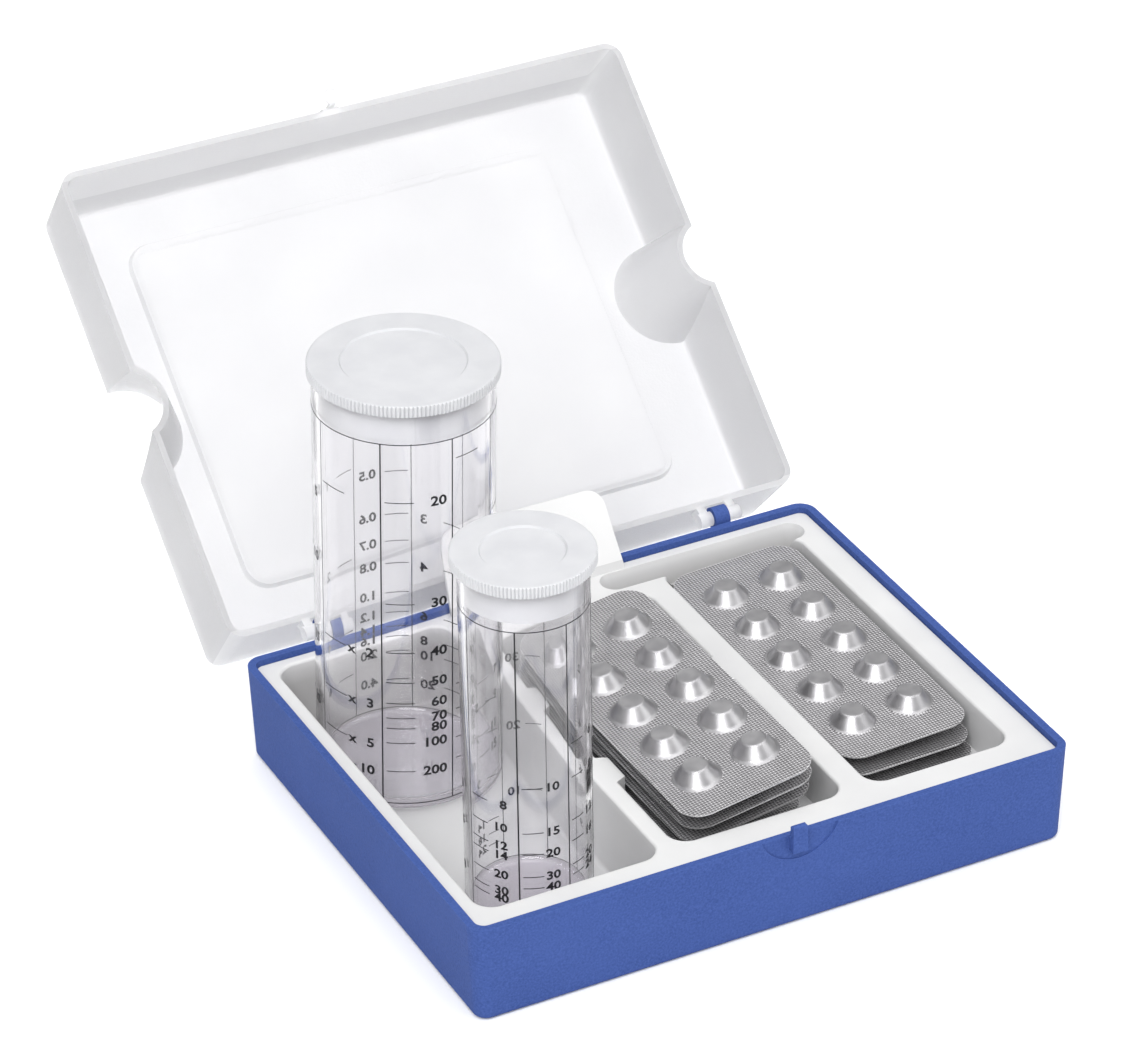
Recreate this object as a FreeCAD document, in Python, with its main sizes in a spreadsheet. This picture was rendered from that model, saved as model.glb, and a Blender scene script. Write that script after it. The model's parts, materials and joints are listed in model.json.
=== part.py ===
import FreeCAD, Part
import os
from math import radians

import Sketcher
from FreeCAD import Placement, Rotation, Vector

# Water test kit: a moulded case with a hinged clear lid and a thermoformed insert that holds two
# graduated tubes and two stacks of blister strips. Millimetres, +Z up. The origin is the centre of
# the case's underside, +X runs along the hinge and +Y points back to it.

DIMENSIONS = {
    # case
    "case_width": 125.0,
    "case_depth": 101.2,
    "case_height": 20.6,
    "case_wall": 1.6,
    "case_floor": 1.4,
    "case_corner": 3.6,
    "side_inset": 0.85,
    "foot_round": 1.2,
    # hinge
    "lug_centre": 43.6,
    "lug_width": 3.2,
    "lug_radius": 2.2,
    "lug_foot": 14.0,
    "hinge_back": 2.65,
    "hinge_rise": 0.2,
    "bore_radius": 0.9,
    "pin_radius": 0.85,
    "ear_radius": 1.5,
    "ear_width": 2.8,
    "ear_gap": 0.15,
    "arm_inset": 0.5,
    "arm_rise": 0.1,
    "arm_lap": 0.2,
    "arm_height": 2.0,
    # latch
    "peg_centre": 3.3,
    "peg_width": 3.0,
    "peg_depth": 1.3,
    "peg_rise": 2.6,
    "peg_drop": 3.2,
    "peg_round": 0.5,
    "peg_gap": 0.1,
    "dish_shift": 0.7,
    "dish_radius": 8.6,
    "dish_drop": 5.5,
    "dish_depth": 0.45,
    "catch_centre": -2.7,
    "catch_radius": 1.65,
    "catch_drop": 2.5,
    "catch_stem": 0.65,
    "catch_reach": 3.6,
    "catch_gap": 0.15,
    "catch_thickness": 0.5,
    "stem_rise": 0.2,
    "tongue_foot": 2.0,
    # lid
    "lid_height": 21.4,
    "lid_wall": 1.2,
    "lid_panel": 1.2,
    "lid_round": 1.8,
    "ceiling_round": 0.8,
    "lid_open": 139.6,
    "label_width": 94.0,
    "label_depth": 74.0,
    "label_centre": -1.0,
    "label_corner": 4.0,
    "label_step": 1.3,
    "label_draft": 20.0,
    "scoop_centre": 60.2,
    "scoop_radius": 10.0,
    "scoop_rim_centre": 65.3,
    "scoop_rim_radius": 7.0,
    # insert tray
    "tray_sheet": 0.8,
    "tray_gap": 0.25,
    "tray_sink": 1.2,
    "tray_lip": 2.4,
    "lip_corner": 0.5,
    "pocket_corner": 4.0,
    "floor_round": 1.0,
    "rim_round": 0.6,
    "tube_pocket_left": -57.4,
    "tube_pocket_right": -20.5,
    "tube_pocket_front": -43.0,
    "tube_pocket_back": 46.6,
    "tube_pocket_draft": 1.5,
    "middle_left": -16.8,
    "middle_right": 18.8,
    "middle_back": 37.6,
    "right_left": 24.2,
    "right_right": 54.8,
    "right_back": 42.2,
    "strip_pocket_front": -41.5,
    "strip_pocket_draft": 3.0,
    "strip_floor": 10.0,
    "rib_root": 9.4,
    "rib_tip": 7.0,
    "rib_proud": 1.9,
    "trough_left": 12.0,
    "trough_right": 57.5,
    "trough_front": 40.4,
    "trough_back": 46.6,
    "trough_drop": 5.0,
    "trough_draft": 22.0,
    "trough_corner": 3.0,
    "crease_place": 38.0,
    "crease_radius": 1.1,
    "tab_centre": 0.6,
    "tab_foot_width": 37.0,
    "tab_top_width": 34.5,
    "tab_length": 17.0,
    "tab_corner": 4.0,
    "tab_lean": 29.0,
    "tab_place": 47.6,
    # tubes and caps
    "rest_gap": 0.05,
    "large_place_x": -38.5,
    "large_place_y": 28.6,
    "large_radius": 17.2,
    "large_height": 86.6,
    "large_wall": 1.2,
    "large_lean": 1.5,
    "large_cap_radius": 18.05,
    "large_ring_radius": 12.0,
    "large_grooves": 144,
    "small_place_x": -37.6,
    "small_place_y": -22.5,
    "small_radius": 12.0,
    "small_height": 74.3,
    "small_wall": 1.1,
    "small_lean": 0.0,
    "small_cap_radius": 13.35,
    "small_ring_radius": 8.0,
    "small_grooves": 120,
    "tube_base": 1.6,
    "tube_base_round": 1.5,
    "cap_disc": 2.2,
    "cap_step": 0.35,
    "cap_step_draft": 45.0,
    "cap_round": 0.4,
    "plug_depth": 6.5,
    "plug_wall": 1.2,
    "plug_gap": 0.06,
    "groove_width": 0.42,
    "groove_depth": 0.28,
    # blister strips
    "strip_width": 28.0,
    "strip_length": 71.0,
    "strip_corner": 5.0,
    "strip_pitch_x": 12.5,
    "strip_pitch_y": 12.2,
    "foil_sheet": 0.1,
    "shell_sheet": 0.18,
    "dome_radius": 4.5,
    "dome_height": 2.85,
    "dome_slope": 36.4,
    "dome_round": 0.3,
    "dome_foot_round": 1.0,
    "tablet_radius": 2.7,
    "tablet_height": 1.9,
    "tablet_round": 0.4,
    # how far a cut runs past the face it opens
    "cut_past": 1.0,
}

# Each strip's place from the bottom of its stack up: centre x, y, height of its underside, and its
# turn, its roll (right side up) and its tip (back edge up) in degrees.
MIDDLE_STACK = [
    (1.6, 0.6, 10.05, -2.0, 0.0, 0.0),
    (0.6, 0.0, 13.30, -0.5, 0.0, 0.0),
    (0.0, -3.6, 17.75, 1.1, 8.0, 0.0),
    (0.0, -4.3, 21.05, 1.3, 8.0, 0.0),
    (-0.4, -5.0, 24.35, 1.1, 8.0, 0.0),
]
RIGHT_STACK = [
    (39.9, 3.6, 10.05, 0.4, 0.0, 0.0),
    (39.6, 4.6, 13.72, 0.2, 1.0, 0.5),
    (39.3, 5.8, 17.40, 0.7, 2.0, 1.0),
]
RIB_PLACES = {"middle_right": (6.0, -23.0), "middle_left": (14.0, -14.0)}

doc = FreeCAD.newDocument("water_test_kit")
sheet = doc.addObject("Spreadsheet::Sheet", "dims")
for row, (alias, size) in enumerate(DIMENSIONS.items(), start=1):
    sheet.set(f"A{row}", alias)
    sheet.set(f"B{row}", str(size))
    sheet.setAlias(f"B{row}", alias)
doc.recompute()

RIM = "dims.case_height"
HINGE_Y = "(dims.case_depth / 2 + dims.hinge_back)"
HINGE_Z = "(dims.case_height + dims.hinge_rise)"
TRAY_TOP = "(dims.case_height - dims.tray_sink)"


def number(expression):
    """The present value of an expression in the sheet's dimensions."""
    return float(sheet.evalExpression(str(expression)))


def new_body(label):
    body = doc.addObject("PartDesign::Body", label)
    body.Label = label
    body.AllowCompound = True
    return body


def origin_plane(body, role):
    return next(item for item in body.Origin.OriginFeatures if item.Role == role)


def new_sketch(body, name, offset="0", role="XY_Plane"):
    """A sketch on one of the body's own planes, moved along the plane's normal."""
    sketch = body.newObject("Sketcher::SketchObject", name)
    sketch.AttachmentSupport = [(origin_plane(body, role), "")]
    sketch.MapMode = "FlatFace"
    sketch.setExpression("AttachmentOffset.Base.z", str(offset))
    return sketch


def bind_size(sketch, kind, places, expression):
    """Adds a dimension to a sketch and ties it to an expression."""
    index = sketch.addConstraint(Sketcher.Constraint(kind, *places, number(expression)))
    sketch.setExpression(f"Constraints[{index}]", str(expression))


def bind_point(sketch, item, end, x, y):
    bind_size(sketch, "DistanceX", (-1, 1, item, end), x)
    bind_size(sketch, "DistanceY", (-1, 1, item, end), y)


def add_circle(sketch, x, y, radius):
    circle = Part.Circle(Vector(number(x), number(y), 0), Vector(0, 0, 1), number(radius))
    item = sketch.addGeometry(circle, False)
    bind_point(sketch, item, 3, x, y)
    bind_size(sketch, "Radius", (item,), radius)
    return item


def add_polygon(sketch, corners):
    """A closed outline of straight lines through corners given as pairs of expressions."""
    points = [Vector(number(x), number(y), 0) for x, y in corners]
    first = sketch.GeometryCount
    count = len(points)
    for index, point in enumerate(points):
        sketch.addGeometry(Part.LineSegment(point, points[(index + 1) % count]), False)
    for index, (x, y) in enumerate(corners):
        following = first + (index + 1) % count
        sketch.addConstraint(Sketcher.Constraint("Coincident", first + index, 2, following, 1))
        bind_point(sketch, first + index, 1, x, y)


def add_rounded_rectangle(sketch, left, right, front, back, corner):
    """A rectangle with round corners: lines and arcs in turn, from the front line round."""
    x0, x1, y0, y1, r = (number(side) for side in (left, right, front, back, corner))
    lines = [((x0 + r, y0), (x1 - r, y0)), ((x1, y0 + r), (x1, y1 - r)),
             ((x1 - r, y1), (x0 + r, y1)), ((x0, y1 - r), (x0, y0 + r))]
    centres = [(x1 - r, y0 + r), (x1 - r, y1 - r), (x0 + r, y1 - r), (x0 + r, y0 + r)]
    first = sketch.GeometryCount
    for quarter, ((start, end), centre) in enumerate(zip(lines, centres)):
        sketch.addGeometry(Part.LineSegment(Vector(*start, 0), Vector(*end, 0)), False)
        circle = Part.Circle(Vector(*centre, 0), Vector(0, 0, 1), r)
        turn = radians(90 * (quarter - 1))
        sketch.addGeometry(Part.ArcOfCircle(circle, turn, turn + radians(90)), False)
    for quarter in range(4):
        line = first + 2 * quarter
        arc = line + 1
        following = first + (2 * quarter + 2) % 8
        sketch.addConstraint(Sketcher.Constraint("Tangent", line, 2, arc, 1))
        sketch.addConstraint(Sketcher.Constraint("Tangent", arc, 2, following, 1))
        level = "Vertical" if quarter % 2 else "Horizontal"
        sketch.addConstraint(Sketcher.Constraint(level, line))
        if quarter:
            sketch.addConstraint(Sketcher.Constraint("Equal", first + 1, arc))
    bind_size(sketch, "Radius", (first + 1,), corner)
    bind_size(sketch, "DistanceY", (-1, 1, first, 1), front)
    bind_size(sketch, "DistanceX", (-1, 1, first + 2, 1), right)
    bind_size(sketch, "DistanceY", (-1, 1, first + 4, 1), back)
    bind_size(sketch, "DistanceX", (-1, 1, first + 6, 1), left)


def extrude(body, kind, sketch, length, taper=None, reverse=False):
    """A Pad or a Pocket of a sketch, with its length and taper tied to expressions."""
    feature = body.newObject(f"PartDesign::{kind}", sketch.Name + kind)
    feature.Profile = sketch
    feature.setExpression("Length", str(length))
    feature.Reversed = reverse
    if taper:
        feature.setExpression("TaperAngle", str(taper))
    return feature


def round_edges(body, name, radius, wanted):
    """Fillets the edges of the body's present shape that wanted() picks by centre and length."""
    doc.recompute()
    tip = body.Tip
    picked = [f"Edge{index}" for index, edge in enumerate(tip.Shape.Edges, start=1)
              if wanted(edge.CenterOfMass, edge)]
    fillet = body.newObject("PartDesign::Fillet", name)
    fillet.Base = (tip, picked)
    fillet.setExpression("Radius", str(radius))
    return fillet


def mirror_across_middle(body, name, originals):
    mirrored = body.newObject("PartDesign::Mirrored", name)
    mirrored.Originals = originals
    mirrored.MirrorPlane = (origin_plane(body, "YZ_Plane"), [""])
    body.Tip = mirrored
    return mirrored


def near(value, expression, slack=0.01):
    return abs(value - number(expression)) < slack


def between(value, low, high, slack=0.01):
    return number(low) - slack < value < number(high) + slack


def is_arc(edge, radius):
    """True for a circular edge of the given radius."""
    return edge.Curve.TypeId == "Part::GeomCircle" and near(edge.Curve.Radius, radius)


def make_case():
    """The open case: drafted walls, two hinge lugs behind and a latch peg in a dish in front."""
    body = new_body("case_base")
    half_x = "dims.case_width / 2"
    half_y = "dims.case_depth / 2"
    outline = new_sketch(body, "CaseRim", RIM)
    add_rounded_rectangle(outline, f"-{half_x}", half_x, f"-{half_y}", half_y, "dims.case_corner")
    draft = "-atan(dims.side_inset / dims.case_height)"
    extrude(body, "Pad", outline, "dims.case_height", draft, reverse=True)
    round_edges(body, "CaseFoot", "dims.foot_round", lambda centre, edge: near(centre.z, 0))

    wall = "dims.case_wall"
    cavity = new_sketch(body, "CaseCavity", RIM)
    add_rounded_rectangle(cavity, f"-{half_x} + {wall}", f"{half_x} - {wall}",
                          f"-{half_y} + {wall}", f"{half_y} - {wall}", f"dims.case_corner - {wall}")
    extrude(body, "Pocket", cavity, "dims.case_height - dims.case_floor", draft)

    lug_start = "dims.lug_centre - dims.lug_width / 2"
    wall_inside = f"{half_y} - dims.case_wall / 2"
    gusset = new_sketch(body, "LugGusset", lug_start, "YZ_Plane")
    add_polygon(gusset, [
        (wall_inside, "dims.lug_foot"),
        (f"{HINGE_Y} + dims.lug_radius", HINGE_Z),
        (f"{HINGE_Y} - dims.lug_radius", HINGE_Z),
        (f"{HINGE_Y} - dims.lug_radius", f"{RIM} - dims.hinge_rise"),
        (wall_inside, f"{RIM} - dims.hinge_rise"),
    ])
    knuckle = new_sketch(body, "LugKnuckle", lug_start, "YZ_Plane")
    add_circle(knuckle, HINGE_Y, HINGE_Z, "dims.lug_radius")
    bore = new_sketch(body, "LugBore", f"{lug_start} - dims.cut_past", "YZ_Plane")
    add_circle(bore, HINGE_Y, HINGE_Z, "dims.bore_radius")
    lug = [extrude(body, "Pad", gusset, "dims.lug_width"),
           extrude(body, "Pad", knuckle, "dims.lug_width"),
           extrude(body, "Pocket", bore, "dims.lug_width + 2 * dims.cut_past", reverse=True)]
    mirror_across_middle(body, "LugPair", lug)

    dish = new_sketch(body, "LatchDish", half_y, "XZ_Plane")
    add_circle(dish, "dims.peg_centre + dims.dish_shift", f"{RIM} + dims.dish_radius - dims.dish_drop",
               "dims.dish_radius")
    extrude(body, "Pocket", dish, "dims.dish_depth")

    peg = new_sketch(body, "LatchPeg", f"{half_y} - dims.case_wall / 2", "XZ_Plane")
    add_polygon(peg, [
        ("dims.peg_centre - dims.peg_width / 2", f"{RIM} - dims.peg_drop"),
        ("dims.peg_centre + dims.peg_width / 2", f"{RIM} - dims.peg_drop"),
        ("dims.peg_centre + dims.peg_width / 2", f"{RIM} - dims.hinge_rise"),
        ("dims.peg_centre - dims.peg_width / 2", f"{RIM} - dims.hinge_rise"),
    ])
    extrude(body, "Pad", peg, "dims.case_wall / 2 + dims.peg_depth")
    post = new_sketch(body, "LatchPost", f"{half_y} + dims.peg_gap", "XZ_Plane")
    add_polygon(post, [
        ("dims.peg_centre - dims.peg_width / 2", f"{RIM} - dims.peg_drop"),
        ("dims.peg_centre + dims.peg_width / 2", f"{RIM} - dims.peg_drop"),
        ("dims.peg_centre + dims.peg_width / 2", f"{RIM} + dims.peg_rise"),
        ("dims.peg_centre - dims.peg_width / 2", f"{RIM} + dims.peg_rise"),
    ])
    extrude(body, "Pad", post, "dims.peg_depth - dims.peg_gap")
    peg_top = f"{RIM} + dims.peg_rise"
    round_edges(body, "PegTop", "dims.peg_round", lambda centre, edge: near(centre.z, peg_top))
    return body


def make_lid_outside(body):
    """The lid's outer envelope in the closed position, with its ears, pins and catch."""
    half_x = "dims.case_width / 2"
    half_y = "dims.case_depth / 2"
    outline = new_sketch(body, "LidRim", RIM)
    add_rounded_rectangle(outline, f"-{half_x}", half_x, f"-{half_y}", half_y, "dims.case_corner")
    extrude(body, "Pad", outline, "dims.lid_height", "-atan(dims.side_inset / dims.lid_height)")
    top = f"{RIM} + dims.lid_height"
    round_edges(body, "LidTopRound", "dims.lid_round", lambda centre, edge: near(centre.z, top))

    label = new_sketch(body, "LabelRecess", top)
    add_rounded_rectangle(label, "-dims.label_width / 2", "dims.label_width / 2",
                          "dims.label_centre - dims.label_depth / 2",
                          "dims.label_centre + dims.label_depth / 2", "dims.label_corner")
    extrude(body, "Pocket", label, "dims.label_step", "-dims.label_draft")

    cut_finger_scoops(body, "Scoop", "0")

    start = "dims.lug_centre - dims.lug_width / 2 - dims.ear_gap - dims.ear_width"
    beyond = "dims.lug_centre + dims.lug_width / 2 + dims.ear_gap"
    arm_root = f"{half_y} - dims.lid_wall / 2"
    arm = [(arm_root, f"{RIM} + dims.arm_rise"),
           (HINGE_Y, f"{HINGE_Z} - dims.ear_radius + dims.arm_lap"),
           (HINGE_Y, f"{HINGE_Z} + dims.ear_radius"),
           (arm_root, f"{HINGE_Z} + dims.ear_radius + dims.arm_height")]
    features = []
    for side, place in (("Near", start), ("Far", beyond)):
        ear = new_sketch(body, f"Ear{side}", place, "YZ_Plane")
        add_circle(ear, HINGE_Y, HINGE_Z, "dims.ear_radius")
        features.append(extrude(body, "Pad", ear, "dims.ear_width"))
        web = new_sketch(body, f"EarArm{side}", f"{place} + dims.arm_inset", "YZ_Plane")
        add_polygon(web, arm)
        features.append(extrude(body, "Pad", web, "dims.ear_width - 2 * dims.arm_inset"))
    pin = new_sketch(body, "HingePin", f"{start} + dims.arm_inset", "YZ_Plane")
    add_circle(pin, HINGE_Y, HINGE_Z, "dims.pin_radius")
    features.append(extrude(body, "Pad", pin, f"{beyond} - ({start})"))
    mirror_across_middle(body, "EarPair", features)

    stem = new_sketch(body, "CatchStem", f"{half_y} - dims.lid_wall / 2", "XZ_Plane")
    add_polygon(stem, [
        ("dims.catch_centre - dims.catch_radius", f"{RIM} + dims.stem_rise"),
        ("dims.catch_centre + dims.catch_radius", f"{RIM} + dims.stem_rise"),
        ("dims.catch_centre + dims.catch_reach", f"{RIM} + dims.catch_reach"),
        ("dims.catch_centre - dims.catch_reach", f"{RIM} + dims.catch_reach"),
    ])
    extrude(body, "Pad", stem, "dims.lid_wall / 2 + dims.catch_thickness")
    tongue = new_sketch(body, "CatchTongue", f"{half_y} + dims.catch_gap", "XZ_Plane")
    add_polygon(tongue, [
        ("dims.catch_centre - dims.catch_stem", f"{RIM} - dims.catch_drop"),
        ("dims.catch_centre + dims.catch_stem", f"{RIM} - dims.catch_drop"),
        ("dims.catch_centre + dims.catch_stem", f"{RIM} + dims.tongue_foot"),
        ("dims.catch_centre - dims.catch_stem", f"{RIM} + dims.tongue_foot"),
    ])
    extrude(body, "Pad", tongue, "dims.catch_stem")
    ball = body.newObject("PartDesign::AdditiveSphere", "CatchBall")
    ball.setExpression("Radius", "dims.catch_radius")
    ball.setExpression("Placement.Base.x", "dims.catch_centre")
    ball.setExpression("Placement.Base.y", f"-{half_y} - dims.catch_gap - dims.catch_radius")
    ball.setExpression("Placement.Base.z", f"{RIM} - dims.catch_drop")


def cut_finger_scoops(body, name, grow):
    """Cuts the half-round finger scoop at each side; grow thickens it into its inner wall."""
    top = new_sketch(body, f"{name}Top", f"{RIM} + dims.lid_height + 0.01")
    add_circle(top, "dims.scoop_centre", "dims.label_centre", f"dims.scoop_radius + {grow}")
    rim = new_sketch(body, f"{name}Rim", f"{RIM} - 0.01")
    add_circle(rim, "dims.scoop_rim_centre", "dims.label_centre",
               f"dims.scoop_rim_radius + {grow}")
    loft = body.newObject("PartDesign::SubtractiveLoft", f"{name}Loft")
    loft.Profile = top
    loft.Sections = [rim]
    loft.Ruled = True
    mirror_across_middle(body, f"{name}Pair", [loft])


def make_lid_inside(body):
    """The lid's hollow: the drafted cavity less the raised label panel and the scoops' walls."""
    wall = "dims.lid_wall"
    half_x = f"dims.case_width / 2 - {wall}"
    half_y = f"dims.case_depth / 2 - {wall}"
    cavity = new_sketch(body, "LidCavity", f"{RIM} - dims.cut_past")
    add_rounded_rectangle(cavity, f"-({half_x})", half_x, f"-({half_y})", half_y,
                          f"dims.case_corner - {wall}")
    extrude(body, "Pad", cavity, "dims.lid_height - dims.lid_panel + dims.cut_past",
            "-atan(dims.side_inset / dims.lid_height)")
    ceiling = f"{RIM} + dims.lid_height - dims.lid_panel"
    round_edges(body, "CeilingRound", "dims.ceiling_round",
                lambda centre, edge: near(centre.z, ceiling))
    plateau = new_sketch(body, "LabelPlateau", ceiling)
    add_rounded_rectangle(plateau, f"-dims.label_width / 2 - {wall}",
                          f"dims.label_width / 2 + {wall}",
                          f"dims.label_centre - dims.label_depth / 2 - {wall}",
                          f"dims.label_centre + dims.label_depth / 2 + {wall}",
                          f"dims.label_corner + {wall}")
    extrude(body, "Pocket", plateau, "dims.label_step", "-dims.label_draft")
    cut_finger_scoops(body, "ScoopWall", wall)


def make_lid():
    outside = new_body("LidOutside")
    make_lid_outside(outside)
    inside = new_body("LidInside")
    make_lid_inside(inside)
    lid = doc.addObject("Part::Cut", "lid")
    lid.Label = "lid"
    lid.Base = outside
    lid.Tool = inside
    hinge = Vector(0, number(HINGE_Y), number(HINGE_Z))
    opened = Rotation(Vector(1, 0, 0), -number("dims.lid_open"))
    lid.Placement = Placement(Vector(0, 0, 0), opened, hinge)
    return lid


def add_pocket(body, name, sides, corner, floor, draft):
    """The outside of one thermoformed pocket, and the sketch that later hollows it."""
    left, right, front, back = sides
    skin = "dims.tray_sheet"
    form = new_sketch(body, f"{name}Form", TRAY_TOP)
    add_rounded_rectangle(form, f"{left} - {skin}", f"{right} + {skin}", f"{front} - {skin}",
                          f"{back} + {skin}", f"{corner} + {skin}")
    extrude(body, "Pad", form, f"{TRAY_TOP} - {floor} + {skin}", f"-({draft})", reverse=True)
    hollow = (name, sides, corner, f"{TRAY_TOP} - {floor}", draft)
    return hollow


def cut_pocket(body, name, sides, corner, depth, draft):
    hollow = new_sketch(body, f"{name}Hollow", TRAY_TOP)
    add_rounded_rectangle(hollow, *sides, corner)
    extrude(body, "Pocket", hollow, depth, f"-({draft})")


def is_pocket_rim(centre, edge):
    """True for the upper edges of the pockets, not for the flange's outline."""
    return (near(centre.z, TRAY_TOP)
            and between(centre.x, "dims.tube_pocket_left", "dims.right_right")
            and between(centre.y, "dims.tube_pocket_front", "dims.tube_pocket_back"))


def make_tray():
    """The thermoformed insert: flange, tube pocket, two strip pockets, finger trough and tab."""
    body = new_body("insert_tray")
    reach = "(dims.case_wall + dims.tray_gap)"
    half_x = f"dims.case_width / 2 - {reach}"
    half_y = f"dims.case_depth / 2 - {reach}"
    flange = new_sketch(body, "Flange", TRAY_TOP)
    add_rounded_rectangle(flange, f"-({half_x})", half_x, f"-({half_y})", half_y,
                          f"dims.case_corner - {reach}")
    extrude(body, "Pad", flange, "dims.tray_lip", "-atan(dims.side_inset / dims.case_height)",
            reverse=True)
    lip = new_sketch(body, "LipHollow", f"{TRAY_TOP} - dims.tray_lip")
    inner = f"({reach} + 2 * dims.tray_sheet)"
    add_rounded_rectangle(lip, f"-(dims.case_width / 2 - {inner})",
                          f"dims.case_width / 2 - {inner}",
                          f"-(dims.case_depth / 2 - {inner})",
                          f"dims.case_depth / 2 - {inner}", "dims.lip_corner")
    extrude(body, "Pocket", lip, "dims.tray_lip - dims.tray_sheet", reverse=True)

    strip_front = "dims.strip_pocket_front"
    hollows = [
        add_pocket(body, "TubePocket", ("dims.tube_pocket_left", "dims.tube_pocket_right",
                   "dims.tube_pocket_front", "dims.tube_pocket_back"), "dims.pocket_corner",
                   "(dims.case_floor + dims.tray_sheet)", "dims.tube_pocket_draft"),
        add_pocket(body, "MiddlePocket", ("dims.middle_left", "dims.middle_right", strip_front,
                   "dims.middle_back"), "dims.pocket_corner", "dims.strip_floor",
                   "dims.strip_pocket_draft"),
        add_pocket(body, "RightPocket", ("dims.right_left", "dims.right_right", strip_front,
                   "dims.right_back"), "dims.pocket_corner", "dims.strip_floor",
                   "dims.strip_pocket_draft"),
    ]
    trough = add_pocket(body, "Trough", ("dims.trough_left", "dims.trough_right",
                        "dims.trough_front", "dims.trough_back"), "dims.trough_corner",
                        f"({TRAY_TOP} - dims.trough_drop)", "dims.trough_draft")
    for hollow in hollows:
        cut_pocket(body, *hollow)
    round_edges(body, "TubeFloor", "dims.floor_round", lambda centre, edge:
                near(edge.BoundBox.ZMax, "dims.case_floor + dims.tray_sheet"))
    round_edges(body, "PocketRims", "dims.rim_round", is_pocket_rim)
    cut_pocket(body, *trough)

    for side, places in RIB_PLACES.items():
        ribs = new_sketch(body, f"Ribs{side.title().replace('_', '')}", TRAY_TOP)
        inward = "-" if side == "middle_right" else "+"
        root = f"dims.{side} {inward} (-dims.tray_sheet)"
        tip = f"dims.{side} {inward} dims.rib_proud"
        for place in places:
            add_polygon(ribs, [(root, f"{place} - dims.rib_root / 2"),
                               (tip, f"{place} - dims.rib_tip / 2"),
                               (tip, f"{place} + dims.rib_tip / 2"),
                               (root, f"{place} + dims.rib_root / 2")])
        extrude(body, "Pad", ribs, f"{TRAY_TOP} - dims.strip_floor", reverse=True)

    crease = new_sketch(body, "TroughCrease", "-dims.trough_back", "XZ_Plane")
    add_circle(crease, "dims.crease_place", f"{TRAY_TOP} - dims.trough_drop", "dims.crease_radius")
    extrude(body, "Pad", crease, "dims.trough_back - dims.trough_front")
    add_lift_tab(body)
    return body


def add_lift_tab(body):
    """The leaning tab at the back of the insert, by which it is lifted out of the case."""
    tab = new_sketch(body, "LiftTab", "-dims.tab_place", "XZ_Plane")
    tab.setExpression("AttachmentOffset.Base.y", f"{TRAY_TOP} - dims.tray_sheet / 2")
    tab.AttachmentOffset = Placement(tab.AttachmentOffset.Base,
                                     Rotation(Vector(1, 0, 0), -number("dims.tab_lean")))
    foot = "dims.tab_foot_width / 2"
    top = "dims.tab_top_width / 2"
    add_polygon(tab, [(f"dims.tab_centre - {foot}", "0"), (f"dims.tab_centre + {foot}", "0"),
                      (f"dims.tab_centre + {top}", "dims.tab_length"),
                      (f"dims.tab_centre - {top}", "dims.tab_length")])
    extrude(body, "Pad", tab, "dims.tray_sheet")
    round_edges(body, "TabCorners", "dims.tab_corner",
                lambda centre, edge: near(edge.Length, "dims.tray_sheet")
                and centre.z > number(f"{TRAY_TOP} + dims.tab_length / 2"))


def make_tube(label, size):
    """A round measuring tube, open at the top, with a flat base and rounded foot."""
    body = new_body(label)
    radius = f"dims.{size}_radius"
    outline = new_sketch(body, f"{size}Outline")
    add_circle(outline, "0", "0", radius)
    extrude(body, "Pad", outline, f"dims.{size}_height")
    round_edges(body, f"{size}Foot", "dims.tube_base_round", lambda centre, edge: near(centre.z, 0))
    hollow = new_sketch(body, f"{size}Hollow", f"dims.{size}_height")
    add_circle(hollow, "0", "0", f"{radius} - dims.{size}_wall")
    extrude(body, "Pocket", hollow, f"dims.{size}_height - dims.tube_base")
    round_edges(body, f"{size}Inside", "dims.tube_base_round",
                lambda centre, edge: near(centre.z, "dims.tube_base"))
    place_on_tray(body, size, "0")
    return body


def place_on_tray(body, size, rise):
    """Stands a piece at its tube's place on the tube pocket's floor, leaning to the right.

    The tube rests on one side of its foot; rise moves the piece up along the tube's own axis.
    """
    lean = f"dims.{size}_lean"
    foot = (f"dims.case_floor + dims.tray_sheet + 2 * dims.rest_gap"
            f" + (dims.{size}_radius - dims.tube_base_round) * sin({lean})")
    body.Placement = Placement(Vector(), Rotation(Vector(0, 1, 0), number(lean)))
    body.setExpression("Placement.Base.x", f"dims.{size}_place_x + ({rise}) * sin({lean})")
    body.setExpression("Placement.Base.y", f"dims.{size}_place_y")
    body.setExpression("Placement.Base.z", f"{foot} + ({rise}) * cos({lean})")


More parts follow.
